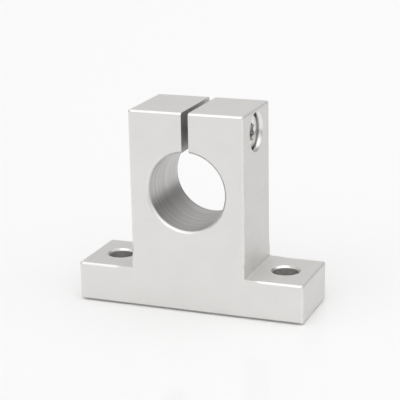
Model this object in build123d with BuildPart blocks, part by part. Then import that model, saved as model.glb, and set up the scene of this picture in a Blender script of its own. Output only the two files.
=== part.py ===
from build123d import *
from math import radians, tan
import os

# A shaft support block for a 20 mm shaft: an upright with a split bore on a
# two-bolt foot, and the socket head screw that pulls the split closed.
# All sizes are in millimetres. X runs across the feet, Y along the shaft and
# Z up from the surface that the block is bolted to.

# Shaft bore and the upright round it
shaft_diameter = 20.0
shaft_height = 31.0
block_length = 20.0
cheek_wall = 5.0
bore_chamfer = 0.6

# Feet and their bolt holes
foot_reach = 15.0
foot_thickness = 10.0
bolt_hole_diameter = 6.6
bolt_to_foot_end = 7.5
bolt_hole_chamfer = 0.5

# Corners and rims of the machined outline
corner_land = 0.5
rim_chamfer = 0.5
inner_corner_radius = 0.5
rim_cutter_radius = 5.0

# Split above the bore
slot_width = 1.8
web_under_screw = 1.45
wall_over_screw = 1.3

# Clamp screw, an M5 by 20 socket head screw
thread_diameter = 5.0
screw_length = 20.0
head_diameter = 8.5
head_height = 5.0
head_rounding = 0.4
socket_width = 4.0
socket_depth = 2.5
socket_mouth = 0.35
socket_drill_play = 0.06
drill_point_angle = 118.0
tip_chamfer = 0.6

# Fits between the screw and the block
thread_play = 0.05
screw_hole_play = 0.25
head_play = 0.25
head_recess = 1.2
recess_chamfer = 0.5
tapped_mouth = 0.4
countersink_angle = 90.0

# Sizes that follow from the ones above
upright_width = shaft_diameter + 2 * cheek_wall
block_width = upright_width + 2 * foot_reach
bolt_spacing = block_width - 2 * bolt_to_foot_end
screw_hole_radius = thread_diameter / 2 + screw_hole_play
recess_radius = head_diameter / 2 + head_play
recess_depth = head_recess + head_height
screw_height = shaft_height + shaft_diameter / 2 + web_under_screw + screw_hole_radius
block_height = screw_height + recess_radius + wall_over_screw
outer_corner_radius = rim_chamfer + corner_land
head_seat = upright_width / 2 - recess_depth
shank_radius = thread_diameter / 2 - thread_play
socket_drill_radius = socket_width / 2 - socket_drill_play
drill_point = socket_drill_radius / tan(radians(drill_point_angle / 2))

# Planes that the features are drilled and drawn on
front_face = Plane.XZ.offset(block_length / 2)
foot_top = Plane.XY.offset(foot_thickness)
screw_axis = Axis((head_seat, 0, screw_height), (1, 0, 0))
screw_side = Plane((upright_width / 2, 0, screw_height), x_dir=(0, 1, 0), z_dir=(1, 0, 0))
tapped_side = Plane((-upright_width / 2, 0, screw_height), x_dir=(0, -1, 0), z_dir=(-1, 0, 0))
head_top = Plane((head_seat + head_height, 0, screw_height), x_dir=(0, 1, 0), z_dir=(1, 0, 0))
socket_floor = head_top.offset(-socket_depth)


def block_outline(inner_radius):
    """The upside-down T of the block, as seen from the front along the shaft."""
    with BuildSketch(front_face) as outline:
        RectangleRounded(
            block_width, foot_thickness, outer_corner_radius, align=(Align.CENTER, Align.MIN)
        )
        RectangleRounded(
            upright_width, block_height, outer_corner_radius, align=(Align.CENTER, Align.MIN)
        )
        at_foot_top = outline.vertices().group_by(Axis.Y)[-3].sort_by(Axis.X)
        fillet(at_foot_top[1:-1], radius=inner_radius)
    return outline.sketch


# The rims of both faces are broken by a cone cutter that follows the outline.
# It is too thick to reach into the corners between upright and feet, so this
# envelope has its own radius there and leaves those corners sharp.
with BuildPart() as rim_envelope:
    extrude(block_outline(rim_cutter_radius), amount=-block_length)
    chamfer(rim_envelope.faces().filter_by(Axis.Y).edges(), length=rim_chamfer)

with BuildPart() as block:
    extrude(block_outline(inner_corner_radius), amount=-block_length)
    add(rim_envelope.part, mode=Mode.INTERSECT)

    # Shaft bore, its rims broken like the outline
    with Locations(front_face):
        with Locations((0, shaft_height)):
            Hole(radius=shaft_diameter / 2, depth=block_length)
    chamfer(block.edges(Select.LAST).filter_by(GeomType.CIRCLE), length=bore_chamfer)

    # Bolt holes through the feet
    with Locations(foot_top):
        with Locations((-bolt_spacing / 2, 0), (bolt_spacing / 2, 0)):
            Hole(radius=bolt_hole_diameter / 2, depth=foot_thickness)
    chamfer(block.edges(Select.LAST).filter_by(GeomType.CIRCLE), length=bolt_hole_chamfer)

    # Recess and clearance hole for the clamp screw in the right ear
    with Locations(screw_side):
        CounterBoreHole(
            radius=screw_hole_radius,
            counter_bore_radius=recess_radius,
            counter_bore_depth=recess_depth,
            depth=upright_width / 2,
        )
    recess_mouth = block.edges(Select.LAST).filter_by(GeomType.CIRCLE).sort_by(Axis.X)[-1]
    chamfer(recess_mouth, length=recess_chamfer)

    # Tapped hole in the left ear, cut to the outer diameter of its thread
    with Locations(tapped_side):
        CounterSinkHole(
            radius=thread_diameter / 2,
            counter_sink_radius=thread_diameter / 2 + tapped_mouth,
            depth=upright_width / 2,
            counter_sink_angle=countersink_angle,
        )

    # Split from the bore up through the top
    with BuildSketch(front_face):
        with Locations((0, shaft_height)):
            Rectangle(slot_width, block_height - shaft_height, align=(Align.CENTER, Align.MIN))
    extrude(amount=-block_length, mode=Mode.SUBTRACT)

# The screw is drawn as half a section, spun round its axis. Its thread is a
# plain shank here, a little slimmer than the tapped hole that it turns in.
with BuildPart() as clamp_screw:
    with BuildSketch(Plane.XZ) as half_section:
        with Locations((head_seat, screw_height)):
            Rectangle(head_height, head_diameter / 2, align=(Align.MIN, Align.MIN))
            Rectangle(screw_length, shank_radius, align=(Align.MAX, Align.MIN))
        head_corner = half_section.vertices().group_by(Axis.Y)[-1].sort_by(Axis.X)[-1]
        fillet(head_corner, radius=head_rounding)
        tip_corner = half_section.vertices().group_by(Axis.X)[0].sort_by(Axis.Y)[-1]
        chamfer(tip_corner, length=tip_chamfer)
    revolve(axis=screw_axis)

    # Hexagon socket with the pointed floor of its drill and a countersunk mouth
    with BuildSketch(head_top):
        RegularPolygon(radius=socket_width / 2, side_count=6, major_radius=False, rotation=30)
    extrude(amount=-socket_depth, mode=Mode.SUBTRACT)
    with Locations(socket_floor.offset(-drill_point / 2)):
        Cone(0, socket_drill_radius, drill_point, mode=Mode.SUBTRACT)
    with Locations(head_top):
        CounterSinkHole(
            radius=socket_width / 2,
            counter_sink_radius=socket_width / 2 + socket_mouth,
            depth=socket_depth,
            counter_sink_angle=countersink_angle,
        )

block.part.label = "block"
clamp_screw.part.label = "clamp_screw"

os.makedirs("parts", exist_ok=True)
export_step(block.part, "parts/block.step")
export_step(clamp_screw.part, "parts/clamp_screw.step")
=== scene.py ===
# %% [markdown]
# A shaft support block: one machined aluminium block with a split bore, and the
# steel socket head screw that closes the split on a shaft. The CAD frame already
# holds both at their real size, so this file gives them their looks: broken
# edges, a cut thread, drawn, milled and turned surfaces, and a white studio.
# All lengths are in metres in the frame's own axes: X runs across the feet,
# Y along the shaft and Z up.

# %% The frame
import math

import bmesh
import bpy
from mathutils import Matrix, Vector


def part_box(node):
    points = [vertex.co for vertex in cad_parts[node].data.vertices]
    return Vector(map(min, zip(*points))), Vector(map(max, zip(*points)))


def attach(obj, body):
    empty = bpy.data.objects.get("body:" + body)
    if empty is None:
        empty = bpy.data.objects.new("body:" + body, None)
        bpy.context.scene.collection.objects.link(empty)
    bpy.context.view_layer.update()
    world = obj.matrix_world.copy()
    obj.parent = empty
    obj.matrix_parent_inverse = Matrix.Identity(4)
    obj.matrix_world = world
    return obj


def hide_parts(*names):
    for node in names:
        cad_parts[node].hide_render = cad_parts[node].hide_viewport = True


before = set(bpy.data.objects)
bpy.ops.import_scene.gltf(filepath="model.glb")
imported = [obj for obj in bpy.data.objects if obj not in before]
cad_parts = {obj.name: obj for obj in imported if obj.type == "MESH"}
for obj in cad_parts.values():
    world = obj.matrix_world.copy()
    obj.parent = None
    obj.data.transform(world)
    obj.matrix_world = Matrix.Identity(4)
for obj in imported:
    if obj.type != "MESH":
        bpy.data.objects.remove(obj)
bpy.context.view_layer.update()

MM = 0.001

# %% [markdown]
# The camera stands where the photographer's did: a little to the right of the
# block, looking down on it through a long lens, which keeps the uprights nearly
# parallel. It aims at a point inside the block, so the whole view is given by
# two angles, a distance and a slight roll.

# %% Camera
CAMERA_AZIMUTH = math.radians(21.4)
CAMERA_ELEVATION = math.radians(16.36)
CAMERA_ROLL = math.radians(-1.15)
CAMERA_DISTANCE = 339.8 * MM
AIM_POINT = Vector((-0.18, -0.07, 26.41)) * MM


def direction(azimuth, elevation):
    """Unit vector with azimuth 0 to the front (-Y), turning towards +X."""
    return Vector((
        math.sin(azimuth) * math.cos(elevation),
        -math.cos(azimuth) * math.cos(elevation),
        math.sin(elevation),
    ))


away = direction(CAMERA_AZIMUTH, CAMERA_ELEVATION)
camera = bpy.data.objects.new("camera", bpy.data.cameras.new("camera"))
bpy.context.scene.collection.objects.link(camera)
camera.data.lens = 120.9
camera.data.sensor_width = 36.0
camera.data.clip_start = 0.01
facing = (-away).to_track_quat("-Z", "Y").to_matrix() @ Matrix.Rotation(CAMERA_ROLL, 3, "Z")
camera.matrix_world = Matrix.Translation(AIM_POINT + away * CAMERA_DISTANCE) @ facing.to_4x4()
bpy.context.scene.camera = camera
print("Camera at", [round(c / MM, 1) for c in camera.matrix_world.translation], "mm")

# %% [markdown]
# Every finish below is a small network of nodes. One helper adds a node, sets
# its fields, and then fills its inputs with numbers or links them to the outputs
# of other nodes, so that each network reads from top to bottom.


# %% Node helper
def add_node(tree, kind, inputs=None, **fields):
    """Add a node, set its fields, and fill or link its inputs."""
    node = tree.nodes.new(kind)
    for name, value in fields.items():
        setattr(node, name, value)
    for name, value in (inputs or {}).items():
        if isinstance(value, bpy.types.NodeSocket):
            tree.links.new(value, node.inputs[name])
        else:
            node.inputs[name].default_value = value
    return node


def new_material(name):
    """An empty node material."""
    material = bpy.data.materials.new(name)
    material.use_nodes = True
    material.node_tree.nodes.clear()
    return material


# %% [markdown]
# The block was photographed on a white table. A single plane is enough for it:
# nearly all of its white is matt, and a trace of gloss lets the block mirror
# faintly in it. It lies a quarter of a millimetre low, because a block never beds
# down all over, and that gap draws the dark line of contact below the front.

# %% White table
TABLE_SIZE = 8.0
TABLE_WHITE = 0.965
TABLE_GLOSS = 0.07
TABLE_GAP = 0.28 * MM

bpy.ops.object.select_all(action="DESELECT")
bpy.ops.mesh.primitive_plane_add(size=TABLE_SIZE, location=(0, 0, -TABLE_GAP))
table = bpy.context.object
table.name = "table"
table.data.materials.append(new_material("white_table"))
tree = table.data.materials[0].node_tree
matt = add_node(tree, "ShaderNodeBsdfDiffuse", {"Color": (TABLE_WHITE,) * 3 + (1,)})
gloss = add_node(tree, "ShaderNodeBsdfGlossy", {"Color": (1, 1, 1, 1), "Roughness": 0.05})
surface = add_node(tree, "ShaderNodeMixShader", {
    "Fac": TABLE_GLOSS, 1: matt.outputs["BSDF"], 2: gloss.outputs["BSDF"]})
add_node(tree, "ShaderNodeOutputMaterial", {"Surface": surface.outputs["Shader"]})
print("Table of", TABLE_SIZE, "m")

# %% [markdown]
# The light is a photographer's tent: everything around the block is soft, and
# there are no hard shadows. Metal shows what it mirrors, and lamps would show in
# it as bright shapes with dark gaps between them. So the light is painted in the
# world as a few broad patches that fade into each other, one line each: where it
# is, and how bright. The strongest is overhead: it whitens the table and the
# upper rims. The low one behind greys the top faces, which mirror it at a low
# angle, and the ones at the right brighten the ring round the screw. Nothing is
# lit apart from this: camera, table and metal all see the same tent.

# %% Soft studio light
SOFT_PATCHES = [
    # azimuth, elevation, brightness
    (0, 90, 1.20),
    (130, 65, 0.37),
    (0, 14, 0.36),
    (45, 14, 0.24),
    (90, 14, 0.22),
    (195, 14, 0.66),
    (270, 14, 0.34),
    (315, 14, 0.46),
    (0, 45, 0.39),
    (45, 45, 0.39),
    (90, 45, 0.55),
    (270, 45, 0.20),
    (315, 45, 0.39),
]
PATCH_TIGHTNESS = 6.0

bpy.context.scene.view_settings.view_transform = "Standard"
world = bpy.data.worlds.new("light_tent")
bpy.context.scene.world = world
world.use_nodes = True
tree = world.node_tree
tree.nodes.clear()
look = add_node(tree, "ShaderNodeTexCoord").outputs["Generated"]
brightness = 0.0
for azimuth, elevation, strength in SOFT_PATCHES:
    towards = direction(math.radians(azimuth), math.radians(elevation))
    near = add_node(tree, "ShaderNodeVectorMath", {0: look, 1: towards}, operation="DOT_PRODUCT")
    falloff = add_node(tree, "ShaderNodeMath", {
        0: near.outputs["Value"], 1: PATCH_TIGHTNESS, 2: -PATCH_TIGHTNESS}, operation="MULTIPLY_ADD")
    patch = add_node(tree, "ShaderNodeMath", {0: falloff.outputs[0]}, operation="EXPONENT")
    total = add_node(tree, "ShaderNodeMath", {
        0: patch.outputs[0], 1: strength, 2: brightness}, operation="MULTIPLY_ADD")
    brightness = total.outputs[0]
tent = add_node(tree, "ShaderNodeBackground", {"Color": (1, 1, 1, 1), "Strength": brightness})
add_node(tree, "ShaderNodeOutputWorld", {"Surface": tent.outputs["Background"]})
print(len(SOFT_PATCHES), "soft patches of light")

# %% [markdown]
# The pieces are shaped in edit mode, as by hand. These helpers select one object
# alone, and pick its vertices, edges or faces by a test on their place or their
# normal, which takes the part of the mouse.


# %% Selecting helpers
def only(piece):
    """Select one object alone and make it active."""
    bpy.ops.object.select_all(action="DESELECT")
    piece.select_set(True)
    bpy.context.view_layer.objects.active = piece


def edit(piece):
    """Open one object in edit mode."""
    only(piece)
    bpy.ops.object.mode_set(mode="EDIT")
    bpy.ops.mesh.select_mode(type="VERT")


def done():
    """Leave edit mode."""
    bpy.ops.object.mode_set(mode="OBJECT")


def pick(kind, test):
    """In edit mode, select just the verts, edges or faces that pass a test."""
    bpy.ops.mesh.select_mode(type={"verts": "VERT", "edges": "EDGE", "faces": "FACE"}[kind])
    bpy.ops.mesh.select_all(action="DESELECT")
    mesh = bpy.context.object.data
    items = getattr(bmesh.from_edit_mesh(mesh), kind)
    picked = [item for item in items if test(item)]
    for item in picked:
        item.select_set(True)
    bmesh.update_edit_mesh(mesh)
    return len(picked)


def apply_modifier(piece, kind, **fields):
    """Put one modifier on a piece and apply it."""
    only(piece)
    modifier = piece.modifiers.new(kind.lower(), kind)
    for name, value in fields.items():
        setattr(modifier, name, value)
    bpy.ops.object.modifier_apply(modifier=modifier.name)


# %% [markdown]
# The block's own shape is right in the CAD, so the visible block starts as a
# copy of that mesh. CAD meshes come as loose triangles with a seam along every
# edge. Merging the doubles and dissolving the flat triangles gives clean faces
# that can be bevelled.

# %% The block as clean faces
WELD = 0.002 * MM
FLAT = math.radians(0.2)

block = bpy.data.objects.new("machined_block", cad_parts["block"].data.copy())
bpy.context.scene.collection.objects.link(block)
block.data.materials.clear()
only(block)
bpy.ops.mesh.customdata_custom_splitnormals_clear()
edit(block)
bpy.ops.mesh.select_all(action="SELECT")
bpy.ops.mesh.remove_doubles(threshold=WELD)
bpy.ops.mesh.dissolve_limited(angle_limit=FLAT, delimit={"NORMAL"})
done()
print("Block:", len(block.data.vertices), "vertices,", len(block.data.polygons), "faces")

# %% [markdown]
# The long edges of the drawn bar are a little crisper than the radius that the
# CAD gives them. Scaling the vertices of such a rounding towards the point where
# its two faces would meet makes the radius smaller, and leaves the faces where
# they are. The ends of the rounding lie on the rims of front and back, half a
# millimetre further in, and are scaled towards a point of their own.

# %% Crisper long edges
CAD_RADIUS = 1.0 * MM
LONG_EDGE_RADIUS = 0.6 * MM
RIM_CHAMFER = 0.5 * MM
HALF_LENGTH = 10 * MM
LONG_EDGES = [(30 * MM, 0), (30 * MM, 10 * MM), (15 * MM, 51 * MM)]
CLOSE = 0.01 * MM


def sharpen_rounding(side, edge_x, edge_z, inset):
    """Scale the vertices of one rounding, at one distance in, towards its corner."""
    reach = CAD_RADIUS - inset
    corner_x = side * (edge_x - inset)
    corner_z = edge_z - inset if edge_z else inset
    corner_y = HALF_LENGTH - (RIM_CHAMFER - inset)

    def is_on_rounding(vertex):
        x, y, z = vertex.co
        near = max(abs(x - corner_x), abs(z - corner_z)) < reach + CLOSE
        return near and abs(abs(y) - corner_y) < CLOSE

    count = pick("verts", is_on_rounding)
    shrink = (LONG_EDGE_RADIUS - inset) / reach
    bpy.ops.transform.resize(
        value=(shrink, 1, shrink), center_override=(corner_x, 0, corner_z))
    print("Rounding at", round(corner_x / MM, 1), round(corner_z / MM, 1), "of", count, "vertices")


edit(block)
for side in (-1, 1):
    for edge_x, edge_z in LONG_EDGES:
        for inset in (0, RIM_CHAMFER):
            sharpen_rounding(side, edge_x, edge_z, inset)
done()

# %% [markdown]
# The mouth of the screw recess is the brightest ring on the block: its chamfer
# is cut deeper than wide. Moving the inner edge of that chamfer a little way down
# the hole, along the screw's axis, makes it so.

# %% Mouth of the screw recess
SCREW_LOW, SCREW_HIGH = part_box("clamp_screw")
SCREW_Z = (SCREW_LOW[2] + SCREW_HIGH[2]) / 2
RECESS_RADIUS = 4.5 * MM
MOUTH_X = 14.5 * MM
MOUTH_DEEPER = 0.25 * MM


def is_mouth_edge(vertex):
    """The circle where the chamfer of the recess meets its wall."""
    x, y, z = vertex.co
    return abs(x - MOUTH_X) < CLOSE and abs(math.hypot(y, z - SCREW_Z) - RECESS_RADIUS) < CLOSE


edit(block)
print("Mouth edge of", pick("verts", is_mouth_edge), "vertices")
bpy.ops.transform.translate(value=(-MOUTH_DEEPER, 0, 0))
done()

# %% [markdown]
# No real edge is perfectly sharp. After milling, the edges are broken by a few
# strokes of a file, and that narrow band is what catches the light along the
# split and the rims. A bevel modifier cuts it on every edge that turns by more
# than 25 degrees, and weighted normals keep the large faces flat in the light.


# %% Broken edges
BROKEN_EDGE = 0.08 * MM


def break_edges(piece, width, steps=2, sharper_than=25, smooth_below=50):
    """Cut a narrow band on each sharp edge, and shade the piece smooth across it."""
    apply_modifier(
        piece, "BEVEL", width=width, segments=steps, limit_method="ANGLE",
        angle_limit=math.radians(sharper_than), use_clamp_overlap=False,
    )
    bpy.ops.object.shade_smooth_by_angle(angle=math.radians(smooth_below))
    apply_modifier(piece, "WEIGHTED_NORMAL", keep_sharp=True)


break_edges(block, BROKEN_EDGE)
print("Block with broken edges:", len(block.data.polygons), "faces")

# %% [markdown]
# Every tool has left its marks on the block. Top, sides and feet are the skin of
# a drawn bar, with fine lines along its length. Front and back are milled, and
# the split is sawn. Bore, bolt holes and screw holes are turned or drilled, with
# rings round their own axes. Each gets its own material slot, and these tests
# tell which face belongs in which, by its place and the way it faces.

# %% Places of the holes
BORE_Z = 31 * MM
BORE_RADIUS = 10 * MM
BOLT_X = 22.5 * MM
BOLT_RADIUS = 3.3 * MM
RIM = 0.55 * MM
PAST_SPLIT = 0.95 * MM
SQUARE = 0.95


def is_milled(face):
    """The front and back faces."""
    return abs(face.normal.y) > SQUARE


def is_rim(face):
    """The chamfers round front, back and holes, cut last."""
    across, along, up = (abs(c) for c in face.normal)
    near_front = abs(face.calc_center_median().y) > HALF_LENGTH - RIM
    return (near_front and 0.6 < along < SQUARE) or (
        is_bolt_hole(face) and 0.6 < up < 0.8) or (
        is_screw_hole(face) and 0.1 < across < SQUARE)


def is_split(face):
    """The two walls of the split above the bore."""
    return abs(face.calc_center_median().x) < PAST_SPLIT and abs(face.normal.x) > SQUARE


def is_bored(face):
    """The wall of the shaft bore and its rims."""
    centre = face.calc_center_median()
    return math.hypot(centre.x, centre.z - BORE_Z) < BORE_RADIUS + RIM and abs(face.normal.y) < SQUARE


def is_bore_rim(face):
    """The chamfers at both ends of the shaft bore, broken edges included."""
    return is_bored(face) and abs(face.normal.y) > 0.1


def is_bolt_hole(face):
    """The walls and rims of the two bolt holes."""
    centre = face.calc_center_median()
    near_hole = math.hypot(abs(centre.x) - BOLT_X, centre.y) < BOLT_RADIUS + RIM
    return near_hole and abs(face.normal.z) < SQUARE


def is_screw_hole(face):
    """The recess, clearance hole and tapped hole of the clamp screw."""
    centre = face.calc_center_median()
    near_axis = math.hypot(centre.y, centre.z - SCREW_Z) < RECESS_RADIUS + RIM
    return near_axis and (abs(face.normal.x) < SQUARE or PAST_SPLIT < abs(centre.x) < 14 * MM)


print("Bore at", round(BORE_Z / MM, 2), "mm, clamp screw at", round(SCREW_Z / MM, 2), "mm")

# %% [markdown]
# All of the block is clear-anodised aluminium, a pale satin metal. A picture of
# brushed metal would need an unwrapped mesh, so noise on the object's own
# coordinates is used instead, which fits every face as it is. Stretched along a
# tool's path, it gives the lines that the tool left. The same in all directions,
# it gives the fine grain of the anodised skin, and a faint cloud in its tone.
# Lines and grain raise the surface by two hundredths of a millimetre at most,
# and the roughness follows the grain.

# %% Satin metal
GRAIN_FINENESS = 4500
GRAIN_HEIGHT = 0.004 * MM
CLOUD_FINENESS = 110
CLOUD_TONE = 0.015
ROUGHNESS_SPREAD = 0.03


def stretched_noise(tree, stretch, detail=3.0):
    """Noise on the object's coordinates, with one number per axis for its fineness."""
    place = add_node(tree, "ShaderNodeTexCoord").outputs["Object"]
    mapping = add_node(tree, "ShaderNodeMapping", {"Vector": place, "Scale": stretch})
    noise = add_node(tree, "ShaderNodeTexNoise", {
        "Vector": mapping.outputs["Vector"], "Scale": 1.0, "Detail": detail, "Roughness": 0.6})
    return noise.outputs["Fac"]


def remap(tree, value, low, high, source=(0.3, 0.7)):
    """Spread a value between two new limits."""
    spread = add_node(tree, "ShaderNodeMapRange", {
        "Value": value, "From Min": source[0], "From Max": source[1], "To Min": low, "To Max": high})
    return spread.outputs["Result"]


def satin_metal(name, colour, roughness, marks, mark_height, tone=0.04):
    """A metal with tool marks (noise fineness per axis, in 1/m) over a fine grain."""
    material = new_material(name)
    tree = material.node_tree
    lines = stretched_noise(tree, marks)
    grain = stretched_noise(tree, (GRAIN_FINENESS,) * 3, detail=2.0)
    cloud = stretched_noise(tree, (CLOUD_FINENESS,) * 3, detail=2.0)
    line_tone = remap(tree, lines, 1 - tone, 1 + tone)
    cloud_tone = remap(tree, cloud, 1 - CLOUD_TONE, 1 + CLOUD_TONE)
    both = add_node(tree, "ShaderNodeMath", {0: line_tone, 1: cloud_tone}, operation="MULTIPLY")
    tint = add_node(tree, "ShaderNodeVectorMath", {
        0: colour[:3], "Scale": both.outputs[0]}, operation="SCALE")
    line_bump = add_node(tree, "ShaderNodeBump", {
        "Height": lines, "Strength": 1.0, "Distance": mark_height})
    grain_bump = add_node(tree, "ShaderNodeBump", {
        "Height": grain, "Strength": 1.0, "Distance": GRAIN_HEIGHT, "Normal": line_bump.outputs["Normal"]})
    shader = add_node(tree, "ShaderNodeBsdfPrincipled", {
        "Base Color": tint.outputs["Vector"], "Metallic": 1.0,
        "Roughness": remap(tree, grain, roughness - ROUGHNESS_SPREAD, roughness + ROUGHNESS_SPREAD),
        "Normal": grain_bump.outputs["Normal"]})
    add_node(tree, "ShaderNodeOutputMaterial", {"Surface": shader.outputs["BSDF"]})
    return material


# %% [markdown]
# Each finish is that metal with the marks of its own tool. The lines run along
# the axes that are COARSE, and follow each other closely along those that are
# FINE. The drawn skin is dull, the walls of the holes show rings, and the rims,
# which are cut last, shine. The bore's wall, the screw's holes and the split are
# given a darker colour than the metal, which is painted shade for the dark inside
# them, and the bore's rims a lighter one, which is painted light over the dark
# that they mirror. One material with masks could do all this, but a table with
# a line for each finish is easier to read and to change.

# %% Finishes of the block
ALUMINIUM = (0.765, 0.755, 0.74, 1)
DRAWN = (0.795, 0.785, 0.77, 1)
FINE = 3000
COARSE = 40
SKIN, MILLED, BORED_PAINTED_SHADE, DRILLED_DOWN, DRILLED_ACROSS_PAINTED_SHADE, RIM_CUT, BORE_RIM_PAINTED_LIGHT, SAWN_PAINTED_SHADE = range(8)
block_finishes = [
    satin_metal("drawn_skin", DRAWN, 0.60, (FINE, COARSE, FINE), 0.004 * MM, 0.03),
    satin_metal("milled_face", ALUMINIUM, 0.32, (COARSE * 4, FINE, FINE), 0.002 * MM, 0.01),
    # The bore's wall is darker than the metal: painted shade for the dark inside the bore.
    satin_metal("bored_wall_painted_shade", (0.58, 0.57, 0.56, 1), 0.39, (COARSE, FINE / 2, COARSE), 0.018 * MM, 0.18),
    satin_metal("drilled_down", (0.79, 0.78, 0.77, 1), 0.40, (COARSE, COARSE, FINE), 0.012 * MM, 0.12),
    # The screw's recess and holes are darker still: painted shade for the dark inside them.
    satin_metal("drilled_across_painted_shade", (0.46, 0.45, 0.44, 1), 0.22, (FINE, COARSE, COARSE), 0.006 * MM, 0.12),
    satin_metal("cut_rim", (0.79, 0.78, 0.77, 1), 0.24, (FINE, FINE, FINE), 0.001 * MM, 0.01),
    # The bore's rims are lighter than the other rims: painted light over the dark that they mirror.
    satin_metal("bore_rim_painted_light", (0.86, 0.85, 0.84, 1), 0.46, (FINE, FINE, FINE), 0.001 * MM, 0.01),
    # The split's walls are darker than the metal: painted shade for the dark inside the narrow split.
    satin_metal("sawn_split_painted_shade", (0.60, 0.59, 0.58, 1), 0.50, (COARSE, FINE, COARSE), 0.004 * MM, 0.06),
]
for finish in block_finishes:
    block.data.materials.append(finish)
print("Finishes:", ", ".join(finish.name for finish in block_finishes))

# %% [markdown]
# Now every face gets its finish. In the window one would select faces and press
# Assign, and the tests above do the selecting here. A face that passes two tests
# keeps the later finish, so the narrow tests come after the broad ones, and a
# face that passes none keeps the drawn skin of slot 0.

# %% A finish for every face
edit(block)
for slot, test in [(MILLED, is_milled), (BORED_PAINTED_SHADE, is_bored), (DRILLED_DOWN, is_bolt_hole),
                   (DRILLED_ACROSS_PAINTED_SHADE, is_screw_hole), (RIM_CUT, is_rim), (BORE_RIM_PAINTED_LIGHT, is_bore_rim),
                   (SAWN_PAINTED_SHADE, is_split)]:
    count = pick("faces", test)
    block.active_material_index = slot
    bpy.ops.object.material_slot_assign()
    print(block_finishes[slot].name, "on", count, "faces")
done()

# %% [markdown]
# The clamp screw is a standard socket head screw, so it is made the way the real
# one is: turned to its outline, knurled, broached and threaded. Cylinders could
# be joined to make the blank, but a lathe's way leaves no seams. One helper draws
# an outline as a chain of points, one extrusion after another, and the next one
# spins such an outline round a line along X.


# %% Drawing and turning helpers
def draw_outline(name, outline, axis_z=0.0):
    """Draw a chain of (x, radius) points over a line along X, and stay in edit mode."""
    bpy.ops.object.select_all(action="DESELECT")
    bpy.ops.mesh.primitive_plane_add(size=MM, location=(0, 0, 0))
    piece = bpy.context.object
    piece.name = name
    edit(piece)
    bpy.ops.mesh.select_all(action="SELECT")
    bpy.ops.mesh.merge(type="CENTER")
    bpy.ops.transform.translate(value=(outline[0][0], 0, outline[0][1] + axis_z))
    for (x0, r0), (x1, r1) in zip(outline, outline[1:]):
        bpy.ops.mesh.extrude_vertices_move(TRANSFORM_OT_translate={"value": (x1 - x0, 0, r1 - r0)})
    return piece


def spin_outline(name, outline, steps, axis_z):
    """Draw an outline of (x, radius) points, and spin it round a line along X."""
    piece = draw_outline(name, outline, axis_z)
    bpy.ops.mesh.select_all(action="SELECT")
    bpy.ops.mesh.spin(steps=steps, angle=2 * math.pi, center=(0, 0, axis_z), axis=(1, 0, 0))
    bpy.ops.mesh.select_all(action="SELECT")
    bpy.ops.mesh.remove_doubles(threshold=WELD)
    bpy.ops.mesh.normals_make_consistent(inside=False)
    done()
    return piece


def arc(centre, radius, start, end, steps):
    """Points on an arc in an outline, with angles from the +X direction."""
    angles = [math.radians(start + (end - start) * i / steps) for i in range(steps + 1)]
    return [(centre[0] + radius * math.cos(a), centre[1] + radius * math.sin(a)) for a in angles]


# %% [markdown]
# The blank's outline runs from the tip along the shank, under the head, over its
# knurl and its rounded rim, and down the wall of the drilled socket. Its ends lie
# on the axis, which closes the turned mesh at both poles. Head and tip are where
# the CAD screw has them.

# %% Turned blank of the screw
HEAD_TOP_X = SCREW_HIGH[0]
SEAT_X = HEAD_TOP_X - 5 * MM
TIP_X = SCREW_LOW[0]
HEAD_RADIUS = (SCREW_HIGH[2] - SCREW_LOW[2]) / 2
SHANK_RADIUS = 2.45 * MM
TIP_CHAMFER = 0.6 * MM
RIM_ROUNDING = 0.4 * MM
KNURL_START = SEAT_X + 0.7 * MM
KNURL_END = HEAD_TOP_X - 0.8 * MM
KNURL_LEAD = 0.12 * MM
SOCKET_FLATS = 4.0 * MM
SOCKET_DEPTH = 2.5 * MM
SOCKET_MOUTH = 0.35 * MM
DRILL_RADIUS = SOCKET_FLATS / 2 * 0.97
DRILL_POINT = DRILL_RADIUS * math.tan(math.radians(31))
blank_outline = [
    (TIP_X, 0),
    (TIP_X, SHANK_RADIUS - TIP_CHAMFER),
    (TIP_X + TIP_CHAMFER, SHANK_RADIUS),
    (SEAT_X - 0.2 * MM, SHANK_RADIUS),
    (SEAT_X, SHANK_RADIUS + 0.12 * MM),
    (SEAT_X, HEAD_RADIUS - 0.2 * MM),
    (SEAT_X + 0.2 * MM, HEAD_RADIUS),
    (KNURL_START, HEAD_RADIUS),
    (KNURL_START + KNURL_LEAD, HEAD_RADIUS),
    (KNURL_END - KNURL_LEAD, HEAD_RADIUS),
    (KNURL_END, HEAD_RADIUS),
    *reversed(arc((HEAD_TOP_X - RIM_ROUNDING, HEAD_RADIUS - RIM_ROUNDING), RIM_ROUNDING, 0, 90, 5)),
    (HEAD_TOP_X, SOCKET_FLATS / 2 + SOCKET_MOUTH),
    (HEAD_TOP_X - SOCKET_MOUTH, DRILL_RADIUS),
    (HEAD_TOP_X - SOCKET_DEPTH, DRILL_RADIUS),
    (HEAD_TOP_X - SOCKET_DEPTH - DRILL_POINT, 0),
]
STEPS_ROUND = 96
screw = spin_outline("socket_screw", blank_outline, STEPS_ROUND, SCREW_Z)
print("Screw blank:", len(screw.data.polygons), "faces")

# %% [markdown]
# The knurl on the side of the head gives fingers a grip. A bump in the material
# would leave the head's outline smooth, so the grooves are in the mesh: every
# second vertex round the head is drawn in towards the axis, which leaves straight
# V-shaped grooves that run out at both ends.

# %% Knurled head
KNURL_DEPTH = 0.14 * MM


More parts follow.
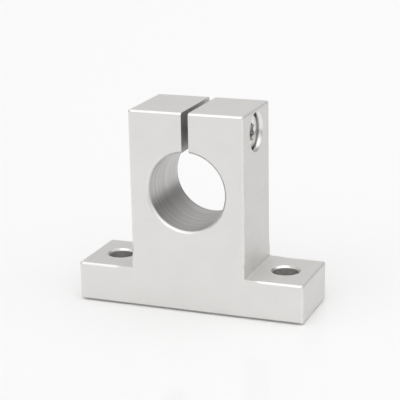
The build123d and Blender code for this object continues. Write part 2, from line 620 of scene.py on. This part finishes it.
def is_knurl_groove(vertex):
    """Every second vertex on the two rings between the ends of the knurl."""
    x, y, z = vertex.co
    on_side = math.hypot(y, z - SCREW_Z) > 0.99 * HEAD_RADIUS
    between = KNURL_START + KNURL_LEAD / 2 < x < KNURL_END - KNURL_LEAD / 2
    step = round(math.atan2(z - SCREW_Z, y) / (2 * math.pi / STEPS_ROUND))
    return on_side and between and step % 2 == 1


edit(screw)
grooves = pick("verts", is_knurl_groove)
inwards = 1 - KNURL_DEPTH / HEAD_RADIUS
bpy.ops.transform.resize(value=(1, inwards, inwards), center_override=(0, 0, SCREW_Z))
done()
print("Knurl grooves:", grooves // 2)

# %% [markdown]
# The lathe has already drilled the socket to its pointed floor and countersunk
# its mouth. What is left is the hexagonal punch: a six-sided cone primitive with
# equal ends, which a boolean modifier takes out of the head. The cone comes with
# a flat on top, so it is turned until one corner is up.

# %% Hexagon socket
OVERLAP = 0.02 * MM
SOCKET_TURN = math.radians(30)


def cut(piece, tool, operation="DIFFERENCE"):
    """Take a tool's shape out of a piece, then delete the tool."""
    apply_modifier(piece, "BOOLEAN", object=tool, operation=operation, solver="EXACT")
    bpy.data.objects.remove(tool)


def add_cone(sides, x_wide, wide, x_narrow, narrow):
    """A cone, or with equal radii a prism, along the axis of the screw."""
    bpy.ops.object.select_all(action="DESELECT")
    bpy.ops.mesh.primitive_cone_add(
        vertices=sides, radius1=wide, radius2=narrow, depth=abs(x_narrow - x_wide),
        location=((x_wide + x_narrow) / 2, 0, SCREW_Z),
        rotation=(0, math.copysign(math.pi / 2, x_narrow - x_wide), 0),
    )
    tool = bpy.context.object
    bpy.ops.object.transform_apply(location=True, rotation=True, scale=True)
    return tool


hexagon = SOCKET_FLATS / math.sqrt(3)
punch = add_cone(6, HEAD_TOP_X + OVERLAP, hexagon, HEAD_TOP_X - SOCKET_DEPTH + OVERLAP, hexagon)
edit(punch)
bpy.ops.mesh.select_all(action="SELECT")
bpy.ops.transform.rotate(value=SOCKET_TURN, orient_axis="X", center_override=(0, 0, SCREW_Z))
done()
cut(screw, punch)
print("Head with its socket:", len(screw.data.polygons), "faces")

# %% [markdown]
# A thread is a V that winds round an axis. A stack of rings would look much the
# same from afar, but rings don't climb, and this screw turns. So the section of
# the V is drawn once, by the same helper as the blank but back to its start, and
# a Screw modifier sweeps it along the helix, one pitch per turn.

# %% Winding helpers
PITCH = 0.8 * MM
THREAD_STEPS = 48


def wind(name, section, start_x, turns):
    """Sweep a closed section of (x, radius) points along a right-hand helix."""
    piece = draw_outline(name, section + section[:1])
    bpy.ops.mesh.select_all(action="SELECT")
    bpy.ops.mesh.remove_doubles(threshold=WELD)
    done()
    piece.location = (start_x, 0, SCREW_Z)
    apply_modifier(
        piece, "SCREW", axis="X", angle=2 * math.pi, screw_offset=PITCH, iterations=turns,
        steps=THREAD_STEPS, render_steps=THREAD_STEPS, use_merge_vertices=True,
    )
    bpy.ops.object.transform_apply(location=True, rotation=False, scale=False)
    edit(piece)
    bpy.ops.mesh.select_all(action="SELECT")
    bpy.ops.mesh.remove_doubles(threshold=WELD)
    bpy.ops.mesh.select_all(action="SELECT")
    bpy.ops.mesh.fill_holes(sides=0)
    bpy.ops.mesh.select_all(action="SELECT")
    bpy.ops.mesh.normals_make_consistent(inside=False)
    done()
    return piece


def thread_section(root, root_width, crest, outer):
    """A V section with a flat root and 60 degree flanks, straight past the crest."""
    half_root = root_width / 2
    half_crest = half_root + abs(crest - root) * math.tan(math.radians(30))
    return [(-half_crest, outer), (-half_crest, crest), (-half_root, root),
            (half_root, root), (half_crest, crest), (half_crest, outer)]


# %% [markdown]
# The screw's own thread is a groove. The wound V is a tool here: a boolean takes
# it out of the shank, tip chamfer included, as a thread-cutting die would.

# %% Screw thread
ROOT_RADIUS = 2.01 * MM
ROOT_WIDTH = 0.19 * MM
THREAD_TURNS = 24
SMOOTH_BELOW = math.radians(28)
groove_section = thread_section(
    ROOT_RADIUS, ROOT_WIDTH, SHANK_RADIUS + OVERLAP, SHANK_RADIUS + 0.4 * MM)
groove = wind("thread_groove", groove_section, TIP_X - 1.5 * PITCH, THREAD_TURNS)
cut(screw, groove)
only(screw)
bpy.ops.object.shade_smooth_by_angle(angle=SMOOTH_BELOW)
print("Threaded screw:", len(screw.data.polygons), "faces")

# %% [markdown]
# Past the tip of the screw, the tapped hole in the left ear shows its own
# thread. It is the same V turned inside out: a ridge that stands on the wall of
# the hole, cut back at the mouth by the countersink.

# %% Thread of the tapped hole
HOLE_RADIUS = 2.5 * MM
RIDGE_RADIUS = 2.07 * MM
RIDGE_WIDTH = 0.2 * MM
RIDGE_FOOT = 0.05 * MM
RIDGE_TURNS = 4
TAPPED_MOUTH = 0.4 * MM
ridge_section = thread_section(RIDGE_RADIUS, RIDGE_WIDTH, HOLE_RADIUS, HOLE_RADIUS + RIDGE_FOOT)
ridge = wind("tapped_thread", ridge_section, TIP_X - 0.5 * MM - RIDGE_TURNS * PITCH, RIDGE_TURNS)
mouth_x = -15 * MM
mouth_radius = HOLE_RADIUS + TAPPED_MOUTH
cut(ridge, add_cone(96, mouth_x - MM, mouth_radius + MM, mouth_x + mouth_radius, 0))
only(ridge)
bpy.ops.object.shade_smooth_by_angle(angle=SMOOTH_BELOW)
print("Tapped thread:", len(ridge.data.polygons), "faces")

# %% [markdown]
# The screw is bright steel, and smoother than the block, so that it mirrors the
# tent in sharper patches. The same satin metal does for it, with marks that run
# round its axis, because it was turned. The tapped thread is the block's own
# metal, and takes the finish of the hole that it is cut in, with the darker
# colour that paints the shade inside that hole.

# %% Bright steel
screw.data.materials.clear()
screw.data.materials.append(satin_metal(
    "bright_steel", (0.86, 0.85, 0.835, 1), 0.24, (FINE, COARSE, COARSE), 0.006 * MM, 0.05))
ridge.data.materials.clear()
ridge.data.materials.append(block_finishes[DRILLED_ACROSS_PAINTED_SHADE])
print("Screw in", screw.data.materials[0].name, "and ridge in", ridge.data.materials[0].name)

# %% [markdown]
# Each piece now says which body it moves with, and so which CAD solid it stands
# for. The ridge stands for no solid of its own: it belongs to the block, and
# stays behind when the screw turns.

# %% Bodies
for piece, node in ((block, "block"), (screw, "clamp_screw")):
    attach(piece, node)
    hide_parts(node)
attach(ridge, "block")
print("Pieces:", block.name, screw.name, ridge.name)
